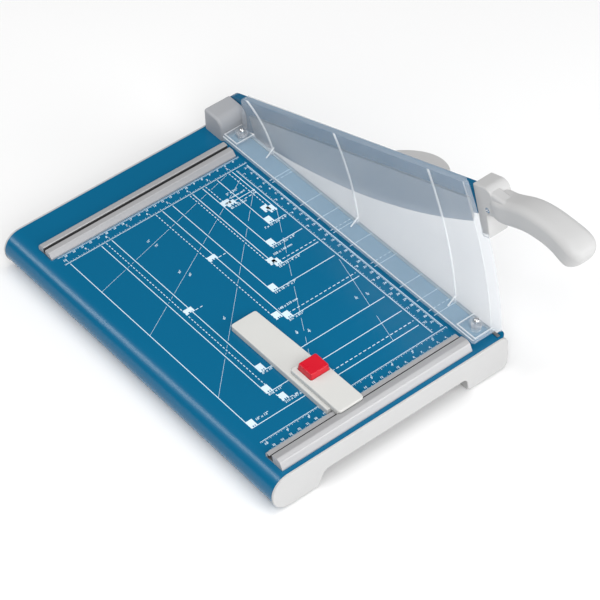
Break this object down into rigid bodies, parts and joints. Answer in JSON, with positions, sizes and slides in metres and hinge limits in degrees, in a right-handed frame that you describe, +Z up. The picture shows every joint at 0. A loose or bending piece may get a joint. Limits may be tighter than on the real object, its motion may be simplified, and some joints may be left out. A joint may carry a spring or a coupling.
{
  "type": "lever arm paper cutter",
  "caption": "Guillotine paper cutter: a steel table with ruled rails, a hinged curved blade arm with a grip, a clear blade guard that presses down, and a sliding backstop.",
  "frame": {"origin": "middle of the bounding box on the plane the rubber feet stand on, arm raised", "axes": "+X from the rolled left edge to the blade, +Y from the handle to the hinge, +Z up"},
  "size_m": [0.314, 0.5254, 0.2268],
  "materials": {
    "blue_paint": "satin powder coat",
    "rail_aluminium": "anodised extrusion",
    "knife_steel": "ground",
    "zinc_steel": "zinc plated",
    "screw_steel": "bright",
    "bush_bronze": "sintered bronze",
    "cap_plastic": "fine moulded texture",
    "grey_plastic": "fine moulded texture",
    "white_plastic": "smooth",
    "clear_plastic": "clear moulded",
    "red_plastic": "smooth",
    "foot_rubber": "matt"
  },
  "bodies": {
    "base": {"table_top": "blue_paint", "bed_rail": "rail_aluminium", "bed_knife": "knife_steel", "bed_knife_screws": "screw_steel", "front_brace": "zinc_steel", "rear_brace": "zinc_steel", "front_end_cap": "cap_plastic", "rear_end_cap": "cap_plastic", "end_cap_screws": "screw_steel", "rubber_feet": "foot_rubber", "front_rail": "rail_aluminium", "rear_rail": "rail_aluminium", "rail_screws": "screw_steel", "hinge_bracket": "zinc_steel", "hinge_bracket_screws": "screw_steel", "hinge_cover": "grey_plastic", "stop_pin": "screw_steel", "pivot_bolt": "screw_steel", "pivot_nut": "screw_steel", "pivot_lock_washer": "screw_steel", "thrust_washers": "screw_steel", "disc_spring": "screw_steel", "guard_screws": "screw_steel", "guard_springs": "screw_steel"},
    "arm": {"arm": "blue_paint", "pivot_bush": "bush_bronze", "blade": "knife_steel", "blade_screws": "screw_steel", "side_rest": "cap_plastic", "side_rest_screws": "screw_steel", "handle_left_half": "cap_plastic", "handle_right_half": "cap_plastic", "handle_screws": "screw_steel"},
    "guard": {"guard_panel": "clear_plastic", "guard_flanges": "clear_plastic"},
    "backstop": {"backstop_bar": "white_plastic", "backstop_shoe": "white_plastic", "backstop_screws": "screw_steel", "button_spring": "screw_steel"},
    "button": {"stop_button": "red_plastic"}
  },
  "joints": [
    {"name": "arm_pivot", "type": "hinge", "parent": "base", "child": "arm", "pos_m": [0.1336, 0.2431, 0.0525], "axis": [1, 0, 0], "range_deg": [0, 19]},
    {"name": "guard_press", "type": "slide", "parent": "base", "child": "guard", "axis": [0, 0, -1], "range_m": [0, 0.0044], "stiffness_N_per_m": 600, "springref_m": -0.005, "deforming": ["guard_springs"]},
    {"name": "backstop_slide", "type": "slide", "parent": "base", "child": "backstop", "axis": [1, 0, 0], "range_m": [-0.075, 0.12]},
    {"name": "button_press", "type": "slide", "parent": "backstop", "child": "button", "axis": [0, 0, -1], "range_m": [0, 0.0015], "stiffness_N_per_m": 800, "springref_m": -0.002, "deforming": ["button_spring"]}
  ]
}
